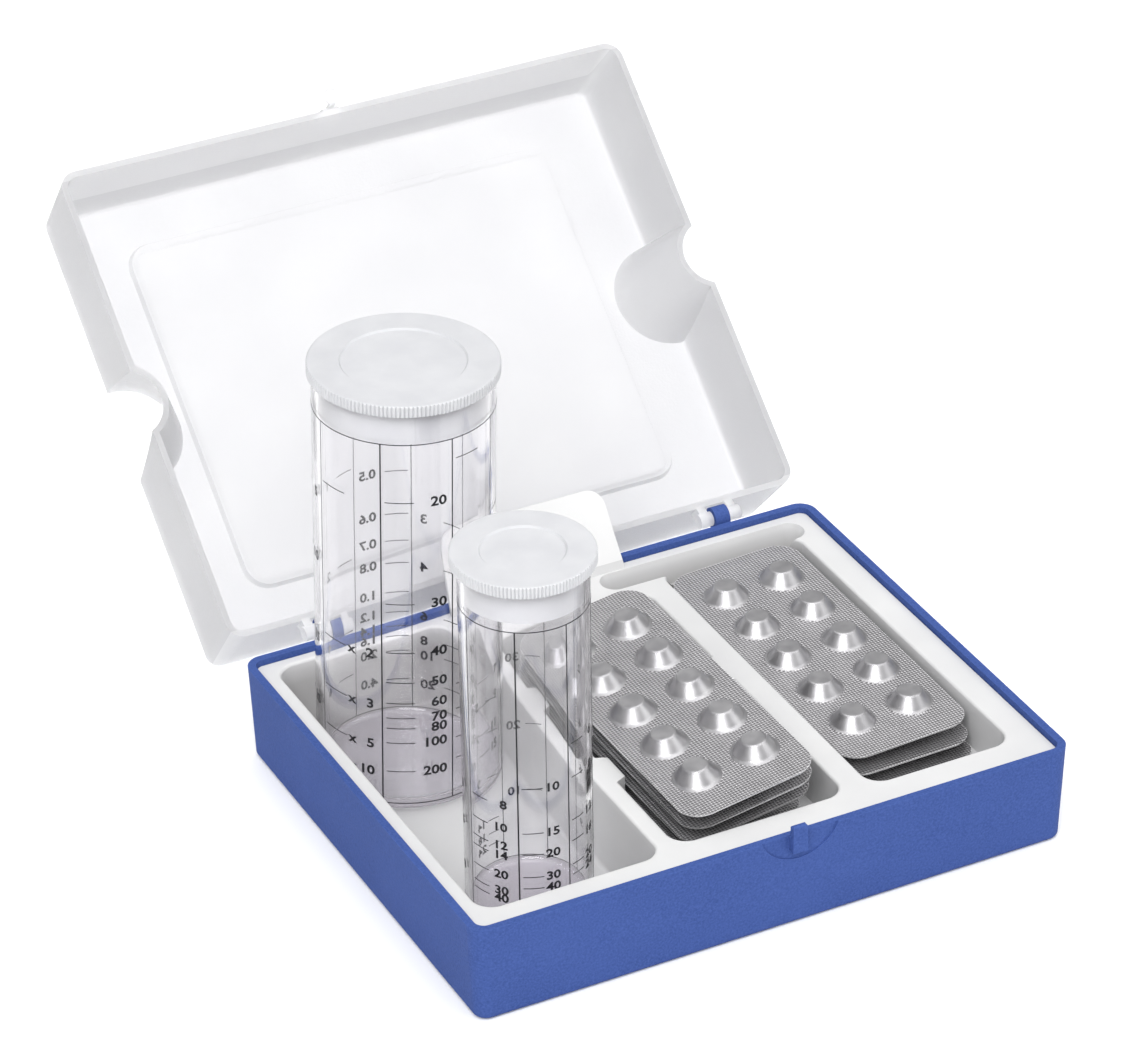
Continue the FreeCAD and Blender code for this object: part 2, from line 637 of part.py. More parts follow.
def make_cap(label, size):
    """A plug cap: a disc with a grooved edge and a round step on top, over a hollow plug."""
    body = new_body(label)
    bore = f"dims.{size}_radius - dims.{size}_wall - dims.plug_gap"
    disc = new_sketch(body, f"{size}Disc")
    add_circle(disc, "0", "0", f"dims.{size}_cap_radius")
    extrude(body, "Pad", disc, "dims.cap_disc")
    round_edges(body, f"{size}DiscRound", "dims.cap_round",
                lambda centre, edge: near(centre.z, "dims.cap_disc"))
    step = new_sketch(body, f"{size}Step", "dims.cap_disc")
    add_circle(step, "0", "0", f"dims.{size}_ring_radius")
    extrude(body, "Pocket", step, "dims.cap_step", "-dims.cap_step_draft")
    plug = new_sketch(body, f"{size}Plug")
    add_circle(plug, "0", "0", bore)
    extrude(body, "Pad", plug, "dims.plug_depth", reverse=True)
    well = new_sketch(body, f"{size}Well", "-dims.plug_depth")
    add_circle(well, "0", "0", f"{bore} - dims.plug_wall")
    extrude(body, "Pocket", well, "dims.plug_depth", reverse=True)
    groove = new_sketch(body, f"{size}Groove", "dims.cap_disc")
    edge = f"dims.{size}_cap_radius"
    add_polygon(groove, [(f"{edge} - dims.groove_depth", "0"),
                         (f"{edge} + dims.groove_depth", "-dims.groove_width"),
                         (f"{edge} + dims.groove_depth", "dims.groove_width")])
    notch = extrude(body, "Pocket", groove, "dims.cap_disc")
    ring = body.newObject("PartDesign::PolarPattern", f"{size}Grooves")
    ring.Originals = [notch]
    ring.Axis = (next(a for a in body.Origin.OriginFeatures if a.Role == "Z_Axis"), [""])
    ring.Angle = 360
    ring.setExpression("Occurrences", f"dims.{size}_grooves")
    body.Tip = ring
    place_on_tray(body, size, f"dims.{size}_height + dims.rest_gap")
    return body


def add_strip_outline(sketch):
    add_rounded_rectangle(sketch, "-dims.strip_width / 2", "dims.strip_width / 2",
                          "-dims.strip_length / 2", "dims.strip_length / 2", "dims.strip_corner")


def add_dome_circles(sketch, radius):
    """Ten circles, two across and five along."""
    for column in (-0.5, 0.5):
        for place in range(-2, 3):
            add_circle(sketch, f"{column} * dims.strip_pitch_x", f"{place} * dims.strip_pitch_y",
                       radius)


def make_strip(prefix, place):
    """One blister strip: formed shell, flat lidding foil and ten tablets, in one placement."""
    tag = prefix.title().replace("_", "")
    shell = new_body(f"{prefix}_shell")
    base = new_sketch(shell, f"{tag}Base", "dims.foil_sheet")
    add_strip_outline(base)
    extrude(shell, "Pad", base, "dims.shell_sheet")
    plate_top = "dims.foil_sheet + dims.shell_sheet"
    domes = new_sketch(shell, f"{tag}Domes", plate_top)
    add_dome_circles(domes, "dims.dome_radius")
    extrude(shell, "Pad", domes, "dims.dome_height", "-dims.dome_slope")
    round_edges(shell, f"{tag}DomeTops", "dims.dome_round",
                lambda centre, edge: near(centre.z, f"{plate_top} + dims.dome_height"))
    round_edges(shell, f"{tag}DomeFeet", "dims.dome_foot_round",
                lambda centre, edge: near(centre.z, plate_top) and is_arc(edge, "dims.dome_radius"))
    hollows = new_sketch(shell, f"{tag}Hollows", "dims.foil_sheet")
    add_dome_circles(hollows, "dims.dome_radius - dims.shell_sheet / 2")
    extrude(shell, "Pocket", hollows, "dims.dome_height", "-dims.dome_slope", reverse=True)

    foil = new_body(f"{prefix}_foil")
    sheet_outline = new_sketch(foil, f"{tag}Foil")
    add_strip_outline(sheet_outline)
    extrude(foil, "Pad", sheet_outline, "dims.foil_sheet")

    tablets = new_body(f"{prefix}_tablets")
    discs = new_sketch(tablets, f"{tag}Tablets", "dims.foil_sheet")
    add_dome_circles(discs, "dims.tablet_radius")
    extrude(tablets, "Pad", discs, "dims.tablet_height")
    round_edges(tablets, f"{tag}TabletRound", "dims.tablet_round",
                lambda centre, edge: near(centre.z, "dims.foil_sheet + dims.tablet_height"))

    x, y, height, turn, roll, tip = place
    rotation = (Rotation(Vector(0, 0, 1), turn) * Rotation(Vector(1, 0, 0), tip)
                * Rotation(Vector(0, 1, 0), -roll))
    for piece in (shell, foil, tablets):
        piece.Placement = Placement(Vector(x, y, height), rotation)
    return [shell, foil, tablets]


parts = [make_case(), make_lid(), make_tray()]
for tube_size in ("large", "small"):
    parts.append(make_tube(f"{tube_size}_tube", tube_size))
    parts.append(make_cap(f"{tube_size}_tube_cap", tube_size))
for stack_name, stack in (("middle", MIDDLE_STACK), ("right", RIGHT_STACK)):
    for level, strip_place in enumerate(stack, start=1):
        parts.extend(make_strip(f"{stack_name}_strip_{level}", strip_place))

doc.recompute()
for item in doc.Objects:
    if "Invalid" in item.State or "Error" in item.State:
        raise RuntimeError(f"{item.Name} failed: {item.State}")
for part in parts:
    if part.Shape.isNull() or not part.Shape.isValid():
        raise RuntimeError(f"{part.Label} has no valid shape")

os.makedirs("parts", exist_ok=True)
for part in parts:
    part.Shape.exportStep(f"parts/{part.Label}.step")
    box = part.Shape.BoundBox
    print(f"{part.Label}: {len(part.Shape.Solids)} solids, {part.Shape.Volume:.0f} mm3, "
          f"x {box.XMin:.1f}..{box.XMax:.1f} y {box.YMin:.1f}..{box.YMax:.1f} "
          f"z {box.ZMin:.1f}..{box.ZMax:.1f}")
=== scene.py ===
import json
import math

import bmesh
import bpy
from mathutils import Matrix, Vector


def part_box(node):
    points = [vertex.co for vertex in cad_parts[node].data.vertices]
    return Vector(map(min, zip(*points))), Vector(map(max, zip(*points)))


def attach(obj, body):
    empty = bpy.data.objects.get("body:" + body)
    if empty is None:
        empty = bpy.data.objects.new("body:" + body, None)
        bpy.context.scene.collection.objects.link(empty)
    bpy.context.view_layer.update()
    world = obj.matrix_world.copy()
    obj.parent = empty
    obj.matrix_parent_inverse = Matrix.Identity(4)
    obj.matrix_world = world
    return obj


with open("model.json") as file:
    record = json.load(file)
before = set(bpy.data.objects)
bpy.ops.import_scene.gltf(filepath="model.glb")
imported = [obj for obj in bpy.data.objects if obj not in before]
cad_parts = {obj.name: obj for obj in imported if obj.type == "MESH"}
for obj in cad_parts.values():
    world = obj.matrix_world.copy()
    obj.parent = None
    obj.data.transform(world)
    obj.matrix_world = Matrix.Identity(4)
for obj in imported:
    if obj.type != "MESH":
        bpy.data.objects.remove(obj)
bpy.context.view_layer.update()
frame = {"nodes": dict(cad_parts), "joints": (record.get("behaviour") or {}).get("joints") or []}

# Looks for the water test kit: materials for every CAD node, the printed scales on both tubes,
# the studio floor, the lights and the camera. Metres throughout, in the CAD frame.

MM = 0.001
NODES = frame["nodes"]
JOINTS = {joint["name"]: joint for joint in frame["joints"]}

TRAY_TOP = 19.4 * MM
# The tray's trough lies behind this, and its tab stands above this share of the tray's height.
TROUGH_FRONT = 38.6 * MM
TAB_FOOT = 1.08

# The lid's own frame: it is closed before it is turned about the hinge.
LID_HINGE = tuple(JOINTS["lid_hinge"]["pos_m"])
LID_TURN = math.radians(139.6)
LABEL_MIDDLE = -1.0 * MM
LABEL_HALF_WIDTH = 46.0 * MM
LABEL_HALF_DEPTH = 36.0 * MM
# The lid's walls at the hinges and at the catch start here; they are clearer than the rest and
# painted paler, a painted glow for light shining through them.
LID_LONG_WALLS = 48.9 * MM

# How high the tubes' thick foot is less clear and painted a darker grey as painted shade, and where
# the foot stands.
FOOT_CLOUD_AND_SHADE = 1.75 * MM
TUBE_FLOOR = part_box("large_tube")[0].z

# How far above the strip's flat the smooth part of a blister starts.
DOME_START = 0.31 * MM
# The embossed foil's pitch along its diagonals, in millimetres.
EMBOSS_PITCH = 1.25

# The rays that find an edge, and how strongly its rounding shows as paler wear and painted
# highlight.
BEVEL_SAMPLES = 6
WEAR_AND_HIGHLIGHT_GAIN = 5.0

# ---------------------------------------------------------------- materials


def new_material(name, **inputs):
    """A Principled material with its sockets set, and the tree that details are added to."""
    material = bpy.data.materials.new(name)
    material.use_nodes = True
    tree = material.node_tree
    shader = tree.nodes["Principled BSDF"]
    for socket, value in inputs.items():
        shader.inputs[socket.replace("_", " ")].default_value = value
    return material, tree, shader


def object_coordinates(tree, rotation=0.0, pivot=(0.0, 0.0, 0.0)):
    """Object coordinates, or those of a part before it was turned about X through a pivot."""
    place = tree.nodes.new("ShaderNodeTexCoord").outputs["Object"]
    if rotation:
        to_pivot = [-coordinate for coordinate in pivot]
        for offset, turn in ((to_pivot, 0.0), (pivot, rotation)):
            mapping = tree.nodes.new("ShaderNodeMapping")
            mapping.inputs["Location"].default_value = offset
            mapping.inputs["Rotation"].default_value = (turn, 0.0, 0.0)
            tree.links.new(place, mapping.inputs["Vector"])
            place = mapping.outputs["Vector"]
    return place


def noise(tree, place, size, detail=2.0, roughness=0.5):
    """Noise whose blobs are about that size, in millimetres."""
    node = tree.nodes.new("ShaderNodeTexNoise")
    node.inputs["Scale"].default_value = 1.0 / (size * MM)
    node.inputs["Detail"].default_value = detail
    node.inputs["Roughness"].default_value = roughness
    tree.links.new(place, node.inputs["Vector"])
    return node.outputs["Fac"]


def math_node(tree, operation, first, second=0.0):
    node = tree.nodes.new("ShaderNodeMath")
    node.operation = operation
    for socket, value in zip(node.inputs, (first, second)):
        if isinstance(value, (int, float)):
            socket.default_value = value
        else:
            tree.links.new(value, socket)
    return node.outputs[0]


def ramp(tree, value, stops):
    """Colours or greys along a 0 to 1 value."""
    node = tree.nodes.new("ShaderNodeValToRGB")
    elements = node.color_ramp.elements
    while len(elements) < len(stops):
        elements.new(0.5)
    for element, (position, colour) in zip(elements, stops):
        element.position = position
        if isinstance(colour, float):
            colour = (colour, colour, colour)
        element.color = (*colour, 1.0)
    tree.links.new(value, node.inputs["Fac"])
    return node.outputs["Color"]


def two_tone(tree, value, first, second):
    """Mottling from one colour to another, with plateaus where the noise is low or high."""
    return ramp(tree, value, [(0.3, first), (0.7, second)])


def split_axes(tree, place):
    """The X, Y and Z of a place."""
    node = tree.nodes.new("ShaderNodeSeparateXYZ")
    tree.links.new(place, node.inputs["Vector"])
    return node.outputs


def stretched(tree, place, x, y, z):
    """The place scaled along the axes, so that what is drawn with it is stretched."""
    node = tree.nodes.new("ShaderNodeMapping")
    node.inputs["Scale"].default_value = (x, y, z)
    tree.links.new(place, node.inputs["Vector"])
    return node.outputs["Vector"]


def map_range(tree, value, low, high):
    node = tree.nodes.new("ShaderNodeMapRange")
    node.inputs["To Min"].default_value = low
    node.inputs["To Max"].default_value = high
    tree.links.new(value, node.inputs["Value"])
    return node.outputs["Result"]


def add_bump(tree, shader, height, depth, strength=1.0, before=None):
    """Bump that is depth millimetres deep, on top of any earlier bump."""
    node = tree.nodes.new("ShaderNodeBump")
    node.inputs["Strength"].default_value = strength
    node.inputs["Distance"].default_value = depth * MM
    tree.links.new(height, node.inputs["Height"])
    if before:
        tree.links.new(before, node.inputs["Normal"])
    tree.links.new(node.outputs["Normal"], shader.inputs["Normal"])
    return node.outputs["Normal"]


def rounded_normal(tree, radius):
    """The normal with the edges rounded off by that many millimetres."""
    bevel = tree.nodes.new("ShaderNodeBevel")
    bevel.samples = BEVEL_SAMPLES
    bevel.inputs["Radius"].default_value = radius * MM
    return bevel.outputs["Normal"]


# Edge mask for paler edges: rubbed wear and a painted highlight on the case, a painted highlight on
# the foil rims.
def edge_wear_and_highlight(tree, radius):
    """1 on the convex and concave edges, 0 on the flats: how far a rounded normal turns away."""
    geometry = tree.nodes.new("ShaderNodeNewGeometry")
    dot = tree.nodes.new("ShaderNodeVectorMath")
    dot.operation = "DOT_PRODUCT"
    tree.links.new(rounded_normal(tree, radius), dot.inputs[0])
    tree.links.new(geometry.outputs["Normal"], dot.inputs[1])
    turned = math_node(tree, "SUBTRACT", 1.0, dot.outputs["Value"])
    scaled = math_node(tree, "MULTIPLY", turned, WEAR_AND_HIGHLIGHT_GAIN)
    return math_node(tree, "MINIMUM", scaled, 1.0)


def mix_colour(tree, factor, first, second):
    node = tree.nodes.new("ShaderNodeMix")
    node.data_type = "RGBA"
    tree.links.new(factor, node.inputs["Factor"])
    for socket, value in ((node.inputs["A"], first), (node.inputs["B"], second)):
        if isinstance(value, tuple):
            socket.default_value = (*value, 1.0)
        else:
            tree.links.new(value, socket)
    return node.outputs["Result"]


def let_lamps_through(tree, shader):
    """Lets the rays from lamps straight through a clear material, so what it holds is lit."""
    output = next(node for node in tree.nodes if node.type == "OUTPUT_MATERIAL")
    clear = tree.nodes.new("ShaderNodeBsdfTransparent")
    rays = tree.nodes.new("ShaderNodeLightPath")
    mix = tree.nodes.new("ShaderNodeMixShader")
    tree.links.new(rays.outputs["Is Shadow Ray"], mix.inputs["Fac"])
    tree.links.new(shader.outputs["BSDF"], mix.inputs[1])
    tree.links.new(clear.outputs["BSDF"], mix.inputs[2])
    tree.links.new(mix.outputs["Shader"], output.inputs["Surface"])


def make_case_plastic():
    """Blue moulded polypropylene with a fine spark-eroded grain and paler edges, partly rubbed wear
    and partly a painted highlight.
    """
    material, tree, shader = new_material(
        "case_plastic_blue", Specular_IOR_Level=0.03, IOR=1.49
    )
    place = object_coordinates(tree)
    mottle = noise(tree, place, 14.0, 4.0)
    body = two_tone(tree, mottle, (0.035, 0.066, 0.215), (0.042, 0.077, 0.245))
    # Paler edges: partly rubbed wear, partly a painted highlight where the rounded edges catch the
    # light.
    rubbed_and_lit_edges = math_node(
        tree, "MULTIPLY", edge_wear_and_highlight(tree, 0.35), map_range(tree, mottle, 0.1, 0.6)
    )
    grain = noise(tree, place, 0.45, 3.0, 0.6)
    speckled = mix_colour(tree, map_range(tree, grain, -0.5, 1.3), body, (0.065, 0.11, 0.33))
    tree.links.new(
        mix_colour(tree, rubbed_and_lit_edges, speckled, (0.07, 0.125, 0.38)), shader.inputs["Base Color"]
    )
    tree.links.new(map_range(tree, grain, 0.45, 0.62), shader.inputs["Roughness"])
    add_bump(tree, shader, grain, 0.1, 0.9)
    return material


def make_lid_plastic():
    """Frosted translucent polypropylene: grained but for the label panel, with clearer long walls
    painted paler as a painted glow.
    """
    material, tree, shader = new_material(
        "lid_plastic_frosted", IOR=1.49, Specular_IOR_Level=0.4
    )
    place = object_coordinates(tree, LID_TURN, LID_HINGE)
    axes = split_axes(tree, place)
    across = math_node(tree, "ABSOLUTE", axes["X"])
    off_label = math_node(tree, "SUBTRACT", axes["Y"], LABEL_MIDDLE)
    along = math_node(tree, "ABSOLUTE", off_label)
    outside = math_node(
        tree,
        "MAXIMUM",
        math_node(tree, "GREATER_THAN", across, LABEL_HALF_WIDTH),
        math_node(tree, "GREATER_THAN", along, LABEL_HALF_DEPTH),
    )
    cloud = noise(tree, place, 22.0, 3.0)
    body = two_tone(tree, cloud, (0.63, 0.63, 0.645), (0.665, 0.665, 0.675))
    from_middle = math_node(tree, "ABSOLUTE", axes["Y"])
    long_walls = math_node(tree, "GREATER_THAN", from_middle, LID_LONG_WALLS)
    # Painted glow: the long walls are painted paler than the rest, as if lit through.
    tree.links.new(
        mix_colour(tree, long_walls, body, (0.79, 0.79, 0.80)), shader.inputs["Base Color"]
    )
    tree.links.new(map_range(tree, long_walls, 0.66, 0.72), shader.inputs["Transmission Weight"])
    grain = noise(tree, place, 0.5, 3.0, 0.6)
    rough = math_node(tree, "MULTIPLY", outside, 0.12)
    tree.links.new(
        math_node(tree, "ADD", rough, map_range(tree, grain, 0.36, 0.46)),
        shader.inputs["Roughness"],
    )
    add_bump(tree, shader, math_node(tree, "MULTIPLY", grain, outside), 0.05, 0.8)
    let_lamps_through(tree, shader)
    return material


def make_tray_plastic():
    """White thermoformed sheet: satin and uneven, with painted shade low in the pockets and in the
    trough, and its tab painted paler as painted light.
    """
    material, tree, shader = new_material(
        "tray_plastic_white", Specular_IOR_Level=0.45, IOR=1.55
    )
    place = object_coordinates(tree)
    cloud = noise(tree, place, 18.0, 3.0)
    sheet = two_tone(tree, cloud, (0.57, 0.57, 0.575), (0.62, 0.62, 0.62))
    axes = split_axes(tree, place)
    height = math_node(tree, "MULTIPLY", axes["Z"], 1.0 / TRAY_TOP)
    # Painted shade: the sheet is painted greyer the lower it lies in the pockets.
    depth_shade = ramp(tree, height, [(0.0, 0.3), (0.6, 0.6), (0.9, 0.6), (0.985, 1.0)])
    depth_shaded = mix_colour(tree, depth_shade, (0.45, 0.45, 0.46), sheet)
    # Painted shade: the trough at the back is painted darker towards its floor.
    at_back = math_node(tree, "GREATER_THAN", axes["Y"], TROUGH_FRONT)
    sunken = ramp(tree, height, [(0.76, 1.0), (0.96, 0.0)])
    trough = math_node(tree, "MULTIPLY", at_back, sunken)
    trough_shaded = mix_colour(tree, trough, depth_shaded, (0.37, 0.365, 0.365))
    # Painted light: the tab that stands above the tray is painted paler than the sheet, as if lit.
    tab = math_node(tree, "GREATER_THAN", height, TAB_FOOT)
    whole = mix_colour(tree, tab, trough_shaded, (0.74, 0.74, 0.74))
    tree.links.new(whole, shader.inputs["Base Color"])
    grain = noise(tree, place, 0.7, 2.0)
    tree.links.new(map_range(tree, grain, 0.34, 0.46), shader.inputs["Roughness"])
    waves = add_bump(tree, shader, noise(tree, place, 9.0, 1.0), 0.12, 0.5)
    add_bump(tree, shader, grain, 0.02, 0.5, waves)
    return material


def make_tube_plastic():
    """Clear moulded polystyrene: faint flow lines, a lilac tint, and a thick foot that is less
    clear and painted a darker grey as painted shade.
    """
    material, tree, shader = new_material("tube_plastic_clear", IOR=1.49)
    place = object_coordinates(tree)
    flow = noise(tree, stretched(tree, place, 1.0, 1.0, 0.12), 3.0, 2.0)
    clear = two_tone(tree, flow, (0.93, 0.925, 0.94), (0.962, 0.957, 0.968))
    axes = split_axes(tree, place)
    # Painted shade: the foot is painted a darker lilac grey, and lets less light through.
    foot = math_node(tree, "LESS_THAN", axes["Z"], TUBE_FLOOR + FOOT_CLOUD_AND_SHADE)
    tree.links.new(mix_colour(tree, foot, clear, (0.50, 0.48, 0.52)), shader.inputs["Base Color"])
    tree.links.new(map_range(tree, foot, 1.0, 0.6), shader.inputs["Transmission Weight"])
    tree.links.new(map_range(tree, flow, 0.01, 0.05), shader.inputs["Roughness"])
    add_bump(tree, shader, flow, 0.012, 0.4)
    let_lamps_through(tree, shader)
    return material


def make_cap_plastic():
    """Milky flexible polyethylene: waxy, with light passing through the thin edge."""
    material, tree, shader = new_material(
        "cap_plastic_milky", IOR=1.51, Transmission_Weight=0.28, Specular_IOR_Level=0.45
    )
    place = object_coordinates(tree)
    cloud = noise(tree, place, 6.0, 3.0)
    tree.links.new(
        two_tone(tree, cloud, (0.66, 0.665, 0.69), (0.72, 0.725, 0.745)),
        shader.inputs["Base Color"],
    )
    grain = noise(tree, place, 0.4, 2.0)
    tree.links.new(map_range(tree, grain, 0.36, 0.5), shader.inputs["Roughness"])
    add_bump(tree, shader, grain, 0.02, 0.6)
    return material


def diamond_pattern(tree, place, pitch):
    """Crossed diagonal ridges, 0 to 1, for the embossed foil."""
    axes = split_axes(tree, place)
    turns = 2.0 * math.pi / (pitch * MM)
    waves = []
    for operation in ("ADD", "SUBTRACT"):
        diagonal = math_node(tree, operation, axes["X"], axes["Y"])
        waves.append(math_node(tree, "SINE", math_node(tree, "MULTIPLY", diagonal, turns)))
    product = math_node(tree, "MULTIPLY", *waves)
    return math_node(tree, "ADD", math_node(tree, "MULTIPLY", product, 0.5), 0.5)


def make_formed_foil():
    """Cold-formed aluminium laminate: embossed all over, scuffed, with soft handling creases,
    painted shade in the emboss's grooves and a painted highlight on the rims.
    """
    material, tree, shader = new_material("blister_foil_formed", Metallic=0.7)
    place = object_coordinates(tree)
    diamonds = diamond_pattern(tree, place, EMBOSS_PITCH)
    scuff = noise(tree, place, 5.0, 4.0, 0.6)
    flat = two_tone(tree, scuff, (0.55, 0.54, 0.555), (0.64, 0.63, 0.645))
    # Painted shade: the emboss's grooves are painted nearly black.
    groove_shade = two_tone(tree, scuff, (0.10, 0.098, 0.103), (0.14, 0.137, 0.143))
    emboss_shaded = mix_colour(tree, diamonds, groove_shade, flat)
    # Painted highlight: the strips' rounded rims are painted pale, as if catching the light.
    rim_highlight = mix_colour(tree, edge_wear_and_highlight(tree, 0.22), emboss_shaded, (0.86, 0.86, 0.87))
    tree.links.new(rim_highlight, shader.inputs["Base Color"])
    tree.links.new(map_range(tree, scuff, 0.26, 0.42), shader.inputs["Roughness"])
    creases = add_bump(tree, shader, noise(tree, place, 4.0, 3.0), 0.15, 0.5)
    add_bump(tree, shader, diamonds, 0.14, 1.0, creases)
    return material


def make_dome_foil():
    """The same laminate stretched smooth over the tablets, with faint drawing marks."""
    material, tree, shader = new_material("blister_foil_domes", Metallic=1.0)
    place = object_coordinates(tree)
    scuff = noise(tree, place, 2.4, 1.0)
    tree.links.new(
        two_tone(tree, scuff, (0.40, 0.395, 0.41), (0.48, 0.475, 0.485)),
        shader.inputs["Base Color"],
    )
    tree.links.new(map_range(tree, scuff, 0.32, 0.42), shader.inputs["Roughness"])
    add_bump(tree, shader, scuff, 0.04, 0.4, rounded_normal(tree, 0.7))
    return material


def make_lidding_foil():
    """The flat backing foil: lacquered aluminium with rolling marks."""
    material, tree, shader = new_material("blister_foil_backing", Metallic=0.85)
    place = object_coordinates(tree)
    rolled = noise(tree, stretched(tree, place, 1.0, 0.08, 1.0), 0.6, 3.0)
    tree.links.new(
        two_tone(tree, rolled, (0.60, 0.60, 0.61), (0.72, 0.72, 0.73)),
        shader.inputs["Base Color"],
    )
    tree.links.new(map_range(tree, rolled, 0.3, 0.45), shader.inputs["Roughness"])
    add_bump(tree, shader, rolled, 0.02, 0.5)
    return material


def make_tablet():
    """Pressed powder: chalky white with fine pits."""
    material, tree, shader = new_material("tablet_powder", Roughness=0.85)
    place = object_coordinates(tree)
    speckle = noise(tree, place, 0.5, 4.0, 0.7)
    tree.links.new(
        two_tone(tree, speckle, (0.78, 0.77, 0.74), (0.86, 0.85, 0.83)),
        shader.inputs["Base Color"],
    )
    add_bump(tree, shader, speckle, 0.06, 0.8)
    return material


def make_ink():
    """Black screen-printing ink, slightly glossy and not quite even."""
    material, tree, shader = new_material("scale_ink_black", Specular_IOR_Level=0.3)
    place = object_coordinates(tree)
    patches = noise(tree, place, 1.2, 3.0)
    tree.links.new(
        two_tone(tree, patches, (0.006, 0.006, 0.008), (0.018, 0.018, 0.022)),
        shader.inputs["Base Color"],
    )
    tree.links.new(map_range(tree, patches, 0.35, 0.55), shader.inputs["Roughness"])
    return material


def make_floor():
    material, tree, shader = new_material("studio_floor", Roughness=0.9)
    place = object_coordinates(tree)
    cloud = noise(tree, place, 120.0, 2.0)
    tree.links.new(
        two_tone(tree, cloud, (0.93, 0.93, 0.93), (0.95, 0.95, 0.95)),
        shader.inputs["Base Color"],
    )
    return material


def give_material(node, *looks):
    slots = NODES[node].data.materials
    slots.clear()
    for look in looks:
        slots.append(look)


def smooth_the_domes(strip):
    """Gives the second material of a strip's shell to the faces that stand above its flat."""
    sheet = max(NODES[f"{strip}_foil"].data.polygons, key=lambda face: face.area)
    up = sheet.normal if sheet.normal.z > 0.0 else -sheet.normal
    for face in NODES[f"{strip}_shell"].data.polygons:
        face.material_index = int((face.center - sheet.center).dot(up) > DOME_START)


give_material("case_base", make_case_plastic())
give_material("lid", make_lid_plastic())
give_material("insert_tray", make_tray_plastic())
tube_plastic = make_tube_plastic()
cap_plastic = make_cap_plastic()
for size in ("large", "small"):
    give_material(f"{size}_tube", tube_plastic)
    give_material(f"{size}_tube_cap", cap_plastic)
formed_foil = make_formed_foil()
dome_foil = make_dome_foil()
lidding_foil = make_lidding_foil()
tablet = make_tablet()
STRIPS = [node.removesuffix("_shell") for node in NODES if node.endswith("_shell")]
for strip in STRIPS:
    give_material(f"{strip}_shell", formed_foil, dome_foil)
    give_material(f"{strip}_foil", lidding_foil)
    give_material(f"{strip}_tablets", tablet)
    smooth_the_domes(strip)

# ---------------------------------------------------------------- printed scales

INK = make_ink()
INK_LIFT = 0.015 * MM
INK_DEPTH = 0.025 * MM
ARC_STEP = 3.0
DIGIT_STEP = 0.5 * MM
# The font's digits are this share of its size, and the printed ones are bolder and wider.
DIGIT_SHARE = 0.70
DIGIT_BOLDNESS = 0.04
DIGIT_WIDTH = 1.15
LINE_WIDTH = 0.2
TICK_WIDTH = 0.17
FOOT_ROUND = 1.5 * MM


def tube_axes(node, radius):
    """A tube's foot and its own axes, from its box and from the slide that it moves along."""
    low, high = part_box(node)
    up = Vector(JOINTS[f"{node}_lift"]["axis"])
    foot = Vector(
        (
            low.x + radius * up.z - FOOT_ROUND * up.x,
            (low.y + high.y) / 2,
            low.z + (radius - FOOT_ROUND) * up.x,
        )
    )
    right = Vector((0.0, 1.0, 0.0)).cross(up)
    return {
        "foot": foot,
        "right": right,
        "back": up.cross(right),
        "up": up,
        "inner": radius + INK_LIFT,
        "outer": radius + INK_LIFT + INK_DEPTH,
    }


def on_tube(tube, angle, radius, height):
    """The point at an angle (radians) from the tube's right, a radius and a height."""
    outward = tube["right"] * math.cos(angle) + tube["back"] * math.sin(angle)
    return tube["foot"] + outward * radius + tube["up"] * height


def add_band(mesh, tube, start, end, low, high):
    """A closed curved patch of ink between two angles (degrees) and two heights (mm)."""
    steps = max(1, math.ceil((end - start) / ARC_STEP))
    closed = end - start >= 360.0
    section = (
        (tube["inner"], low * MM),
        (tube["outer"], low * MM),
        (tube["outer"], high * MM),
        (tube["inner"], high * MM),
    )
    rows = []
    for step in range(steps if closed else steps + 1):
        angle = math.radians(start + (end - start) * step / steps)
        rows.append([mesh.verts.new(on_tube(tube, angle, *corner)) for corner in section])
    pairs = list(zip(rows, rows[1:]))
    if closed:
        pairs.append((rows[-1], rows[0]))
    else:
        mesh.faces.new(rows[0])
        mesh.faces.new(reversed(rows[-1]))
    for here, there in pairs:
        for side in range(4):
            following = (side + 1) % 4
            mesh.faces.new((here[side], there[side], there[following], here[following]))


def flat_digits(text, size, align):
    """The text as a thin flat mesh, cut into upright slices so that it can be bent."""
    curve = bpy.data.curves.new("number", "FONT")
    curve.body = text
    curve.size = size * MM / DIGIT_SHARE
    curve.offset = size * MM * DIGIT_BOLDNESS
    curve.extrude = INK_DEPTH / 2
    curve.align_x = align
    curve.resolution_u = 3
    writer = bpy.data.objects.new("number", curve)
    bpy.context.scene.collection.objects.link(writer)
    bpy.context.view_layer.update()
    written = writer.evaluated_get(bpy.context.evaluated_depsgraph_get())
    flat = bpy.data.meshes.new_from_object(written)
    digits = bmesh.new()
    digits.from_mesh(flat)
    bpy.data.objects.remove(writer)
    bpy.data.meshes.remove(flat)
    bpy.data.curves.remove(curve)
    bmesh.ops.remove_doubles(digits, verts=digits.verts, dist=0.002 * MM)
    right = max(vert.co.x for vert in digits.verts)
    cut = min(vert.co.x for vert in digits.verts) + DIGIT_STEP
    while cut < right:
        bmesh.ops.bisect_plane(
            digits,
            geom=[*digits.verts, *digits.edges, *digits.faces],
            plane_co=(cut, 0.0, 0.0),
            plane_no=(1.0, 0.0, 0.0),
        )
        cut += DIGIT_STEP
    return digits


def add_number(mesh, tube, text, angle, height, size, align):
    """A number wrapped round the tube, its middle at a height (mm), readable from outside."""
    digits = flat_digits(text, size, align)
    middle = (tube["inner"] + tube["outer"]) / 2
    copies = {}
    for vert in digits.verts:
        turn = math.radians(angle) + vert.co.x * DIGIT_WIDTH / middle
        rise = (height - size / 2) * MM + vert.co.y
        copies[vert] = mesh.verts.new(on_tube(tube, turn, middle + vert.co.z, rise))
    for face in digits.faces:
        mesh.faces.new([copies[vert] for vert in face.verts])
    digits.free()


